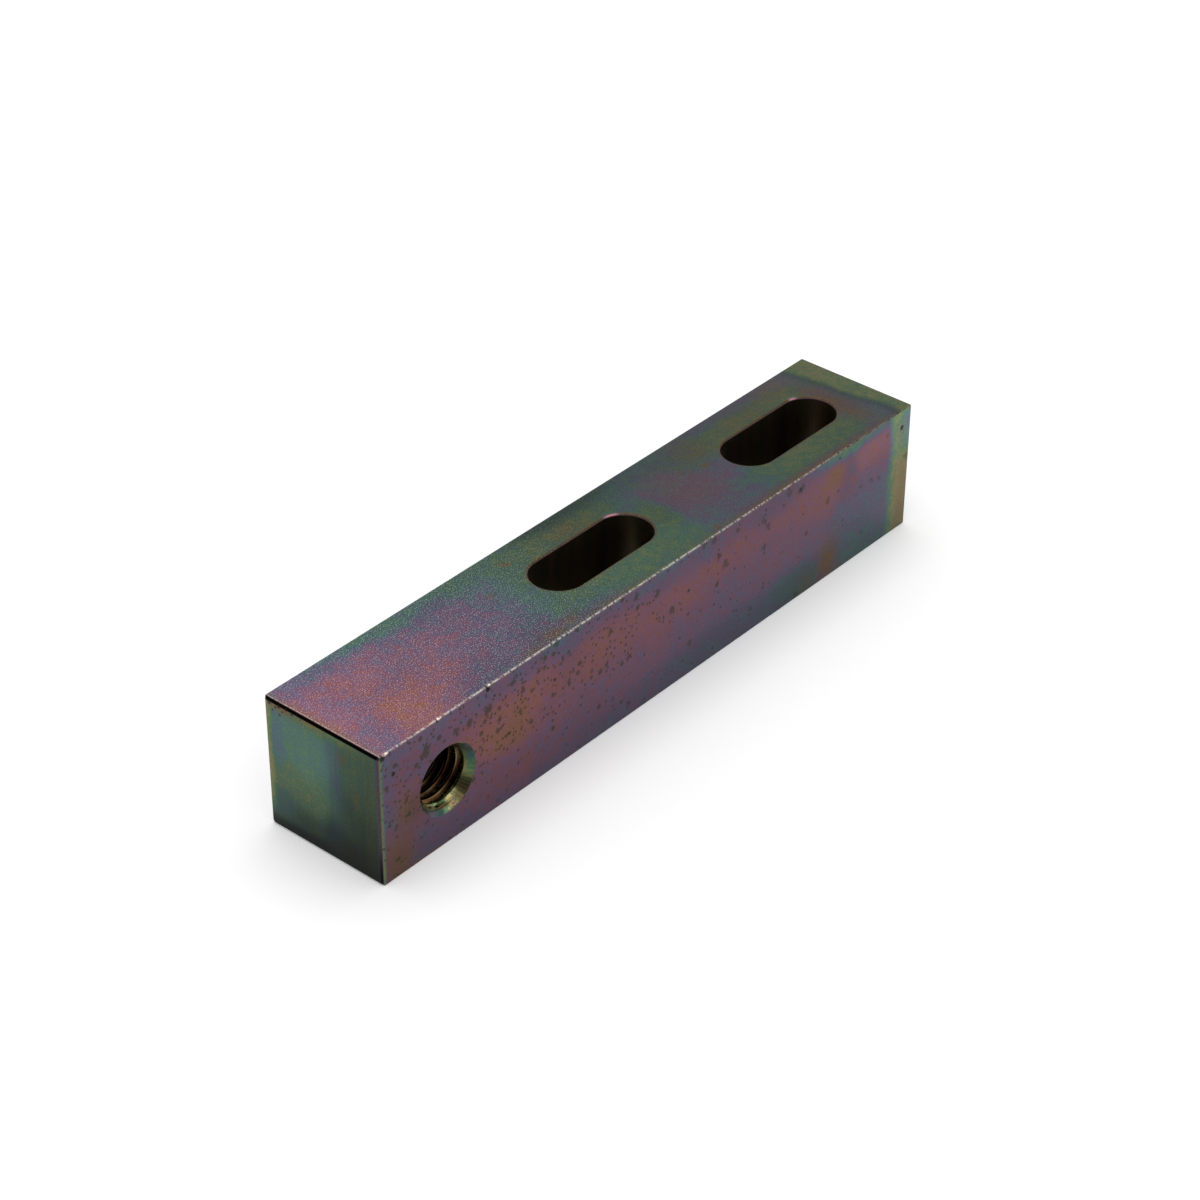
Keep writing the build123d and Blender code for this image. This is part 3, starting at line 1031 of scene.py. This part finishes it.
blotches = [
    (10.5, 21.2, 0.8), (10.2, 20.1, 1.0), (17.1, 20.4, 0.8), (20.0, 20.2, 0.9), (24.4, 20.4, 1.2),
    (23.5, 18.8, 0.7), (26.0, 21.9, 0.4), (3.0, 20.4, 0.5), (32.5, 19.7, 0.7), (36.4, 21.4, 0.6),
    (27.2, 17.2, 0.6), (32.0, 16.0, 0.5), (32.4, 17.5, 0.4), (37.2, 23.4, 0.5), (39.8, 22.7, 0.6),
    (40.6, 24.2, 0.6), (41.9, 20.0, 0.6), (40.1, 17.6, 0.45), (29.3, 13.1, 0.5), (22.7, 13.9, 0.4),
    (24.0, 10.5, 0.35), (28.4, 12.9, 0.4), (33.5, 13.1, 0.35), (10.0, 6.7, 0.6), (19.2, 5.8, 0.4),
    (18.1, 1.4, 0.5), (60.2, 23.0, 0.9), (65.5, 21.0, 0.9), (53.7, 19.5, 0.6), (60.4, 20.8, 0.6),
    (58.4, 12.1, 0.6), (52.7, 13.6, 0.6), (54.2, 5.8, 0.6), (73.7, 17.3, 0.45), (69.5, 15.5, 0.9),
    (71.7, 15.8, 0.5), (83.5, 17.6, 1.1), (81.5, 20.0, 0.9), (80.5, 23.9, 0.9), (77.5, 24.2, 0.7),
    (86.5, 23.0, 0.7), (93.6, 21.3, 0.7), (95.0, 19.5, 0.8), (100.5, 23.3, 0.9), (103.8, 22.6, 1.0),
    (99.2, 21.6, 0.6), (111.7, 16.3, 0.8), (121.7, 14.8, 0.6), (124.7, 14.5, 0.8), (127.0, 13.8, 0.6),
    (133.1, 21.4, 0.8), (134.8, 14.8, 0.8), (122.5, 4.6, 0.6), (74.2, 6.3, 0.8), (90.7, 4.8, 0.7),
    (103.7, 1.0, 0.8), (24.5, 24.3, 0.6), (94.0, 15.6, 0.6), (6.0, 10.8, 0.6), (14.5, 19.9, 0.4),
]
pushed = ragged(place, 0.0008, 0.0020)
blotches = [(along_bar, 0, high_up, radius) for along_bar, high_up, radius in blotches]
blotch = web.step(largest_blotch(pushed, blotches) + fleck * 1.2, -0.05, 0.40)


def dots(place, cell, radius, share):
    """Round dots: 1 where the point of a Voronoi cell is nearer than the radius, 0 elsewhere.

    Only some cells, by share, are given a dot. A point off the surface gives a smaller dot.
    """
    cells = web.node("ShaderNodeTexVoronoi", {"Vector": place, "Scale": 1 / cell})
    pick = web.node("ShaderNodeSeparateColor", [cells.output(1)])
    return web.step(share - pick, 0.0, 0.06) * web.step(cells * (cell / radius), 1.15, 0.7)


slightly_pushed = ragged(place, 0.0003, 0.0004)
cluster = web.step(web.noise(place, 0.004, 2.0, 0.5), 0.35, 0.62)
share = pits_here * (0.25 + 0.75 * cluster)
dotted = (dots(slightly_pushed, 0.0009, 0.00030, share * 0.9)
          + dots(slightly_pushed, 0.0019, 0.00055, share * 0.55)).clip()
dings = web.step(largest_blotch(slightly_pushed, [
    (24.5, 0, 24.3, 0.6), (1.0, 0, 24.5, 0.7), (13.0, 0, 24.65, 0.35), (40.1, 0, 17.6, 0.4),
    (26.0, 0, 22.3, 0.35), (73.7, 0, 17.3, 0.4), (3.2, 0, 20.3, 0.5), (103.8, 0, 22.6, 0.5),
    (133.1, 0, 21.4, 0.6), (29.3, 0, 13.1, 0.35), (28.0, 0, 15.6, 0.25), (32.0, 0, 18.2, 0.3),
    (34.6, 0, 15.0, 0.25), (38.0, 0, 12.0, 0.2), (30.2, 0, 12.2, 0.22), (33.2, 0, 13.6, 0.22),
    (0, 23.2, 24.3, 0.5), (0, 21.9, 24.0, 0.3), (0, 21.2, 24.4, 0.45), (0, 20.4, 23.8, 0.25),
    (0, 19.6, 24.5, 0.35), (0, 18.3, 24.3, 0.4), (0, 17.4, 24.6, 0.25), (0, 16.4, 24.2, 0.2),
    (0, 22.6, 23.2, 0.25), (0, 21.0, 22.9, 0.3),
]), 0.0, 0.5)
pitted = (blotch * (0.62 + 0.5 * pits_here) + dotted).clip()
colour = web.blend(pitted * 0.66, colour, seen(58, 57, 42))
colour = web.blend(dings * 0.85, colour, seen(26, 24, 19))
print("with pits:", len(web.tree.nodes), "nodes")

# %% [markdown]
# ## Burr and painted edge highlight
#
# Handling has rubbed the sharp front edge down to bright metal, in beads, and the same near-white is
# painted along it as a painted edge highlight, with the end's painted light line. Bumps, pits and lines also
# tilt the surface a little.

# %% Burr
bead = web.step(web.noise(place, 0.0005, 1.0, 0.6), 0.36, 0.60)
# Bare metal and a painted edge highlight, in near-white.
bare_metal_and_highlight = (web.painted("burr") * (0.08 + 0.84 * bead)).clip()
colour = web.blend(bare_metal_and_highlight, colour, seen(236, 224, 210))
relief = frost_noise * grain_and_sparkle_here + mottle * 0.5 - pitted * 0.6 + tool_lines * streaks_here * 0.4
web.surface({
    "Base Color": colour, "Metallic": 1.0, "Roughness": 0.36 + 0.12 * mottle + 0.2 * pitted,
    "Normal": web.bump(relief, 0.00002, 0.5),
})
print("plated finish:", len(web.tree.nodes), "nodes")

# %% [markdown]
# ## Inside the slots
#
# The bath hardly moved in there, so the walls are almost black, with faint upright lines from the mill.

# %% Slot walls
web = new_material(block, "slot_wall")
place = web.node("ShaderNodeTexCoord", out="Object")
lines = web.step(web.noise(web.upright(place, 0.02), 0.0022, 3.0, 0.55), 0.42, 0.75)
colour = web.blend(lines, seen(94, 88, 68), seen(100, 70, 56))
web.surface({"Base Color": colour, "Metallic": 1.0, "Roughness": 0.34 + 0.1 * lines})
print("slot walls:", len(web.tree.nodes), "nodes")

# %% [markdown]
# ## The countersink and the thread
#
# Tapping leaves bright metal, and its film is thinner and clearer: gold and green on the cone, tan on the
# crests, and dark brown down in the grooves. The tone read here carries the painted highlights and painted
# shade laid on the cone and the thread.

# %% Thread finish
web = new_material(block, "cut_thread")
place = web.node("ShaderNodeTexCoord", out="Object")
mottle = web.noise(place, 0.0008, 3.0, 0.6) - 0.5
fleck = web.noise(place, 0.0003, 2.0, 0.7) - 0.5
from_axis = web.vector("MULTIPLY_ADD", place, (1, 0, 1), (-hole_x / 1000, 0, -hole_z / 1000))
round_hole = web.scale(web.vector("NORMALIZE", from_axis), 0.0056)
down_cone = web.vector("MULTIPLY_ADD", place, (0, 0.1, 0), round_hole)
scored = (web.noise(down_cone, 0.00022, 2.0, 0.7) - 0.5) * web.painted("streaks")
ripped = (mottle + fleck) * web.painted("torn")
thickness = web.painted("film") + mottle * 0.26 + fleck * 0.26 + scored * 1.6 + ripped * 2.0
colour = web.node("ShaderNodeValToRGB", [thickness], stops=film_order)
colour = web.blend((web.painted("stain") * (1 + 2.5 * ripped)).clip(), colour, seen(116, 70, 48))
across_scratch = web.painted("from_scratch")
scratch = web.step(across_scratch * across_scratch, 1.0, 0.2)
lightness = web.painted("tone") * (1 + 0.5 * mottle + 0.6 * fleck) * (1 + 3.4 * scored) * (1 + 2.2 * ripped)
colour = web.scale(colour, lightness * (1 - 0.8 * scratch))
web.surface({
    "Base Color": colour, "Metallic": 1.0, "Roughness": 0.28 + 0.1 * mottle,
    "Normal": web.bump(mottle, 0.00004, 0.6),
})
print("thread finish:", len(web.tree.nodes), "nodes")

# %% [markdown]
# ## The floor
#
# Metal shows what is round it, so the studio is white. Only the camera and reflections see the floor a
# little brighter than it is lit, so it reads as white paper and still keeps the block's shadow.

# %% Floor
def seen_directly(web):
    """1 for the camera and for reflections, 0 for light on its way to other things."""
    rays = web.node("ShaderNodeLightPath")
    glossy = rays.output("Is Glossy Ray")
    return (rays.output("Is Camera Ray") + glossy + rays.output("Is Transmission Ray")).clip()


floor = put("floor", bpy.data.meshes.new("floor"))
floor.data.from_pydata([(-3, -3, 0), (3, -3, 0), (3, 3, 0), (-3, 3, 0)], [], [(0, 1, 2, 3)])
web = new_material(floor, "white_paper")
web.surface({
    "Base Color": (0.85, 0.85, 0.85, 1), "Roughness": 1.0, "Specular IOR Level": 0.0,
    "Emission Color": (1, 1, 1, 1), "Emission Strength": seen_directly(web) * 0.22,
})
print("floor:", len(web.tree.nodes), "nodes")

# %% [markdown]
# ## Light
#
# The white dome is a little under 1, so that a colour renders about as it is written. The lamp stands high
# above the block and gives it a soft shadow.

# %% Light
world = bpy.data.worlds.new("studio")
bpy.context.scene.world = world
world.use_nodes = True
web = Web(world.node_tree)
dome = {"Color": (1, 1, 1, 1), "Strength": 0.85 + 0.15 * seen_directly(web)}
web.node("ShaderNodeOutputWorld", [web.node("ShaderNodeBackground", dome)])

lamp = put("soft_lamp", bpy.data.lights.new("soft_lamp", "AREA"))
lamp.data.shape = "RECTANGLE"
lamp.data.size = 0.8
lamp.data.size_y = 0.5
lamp.data.energy = 2.0
lamp.location = (0.1, 0.15, 0.9)
print("lamp of", lamp.data.energy, "W")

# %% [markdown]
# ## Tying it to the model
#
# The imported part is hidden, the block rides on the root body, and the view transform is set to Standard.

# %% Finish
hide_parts("mounting_block")
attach(block, "root")
bpy.context.scene.view_settings.view_transform = "Standard"
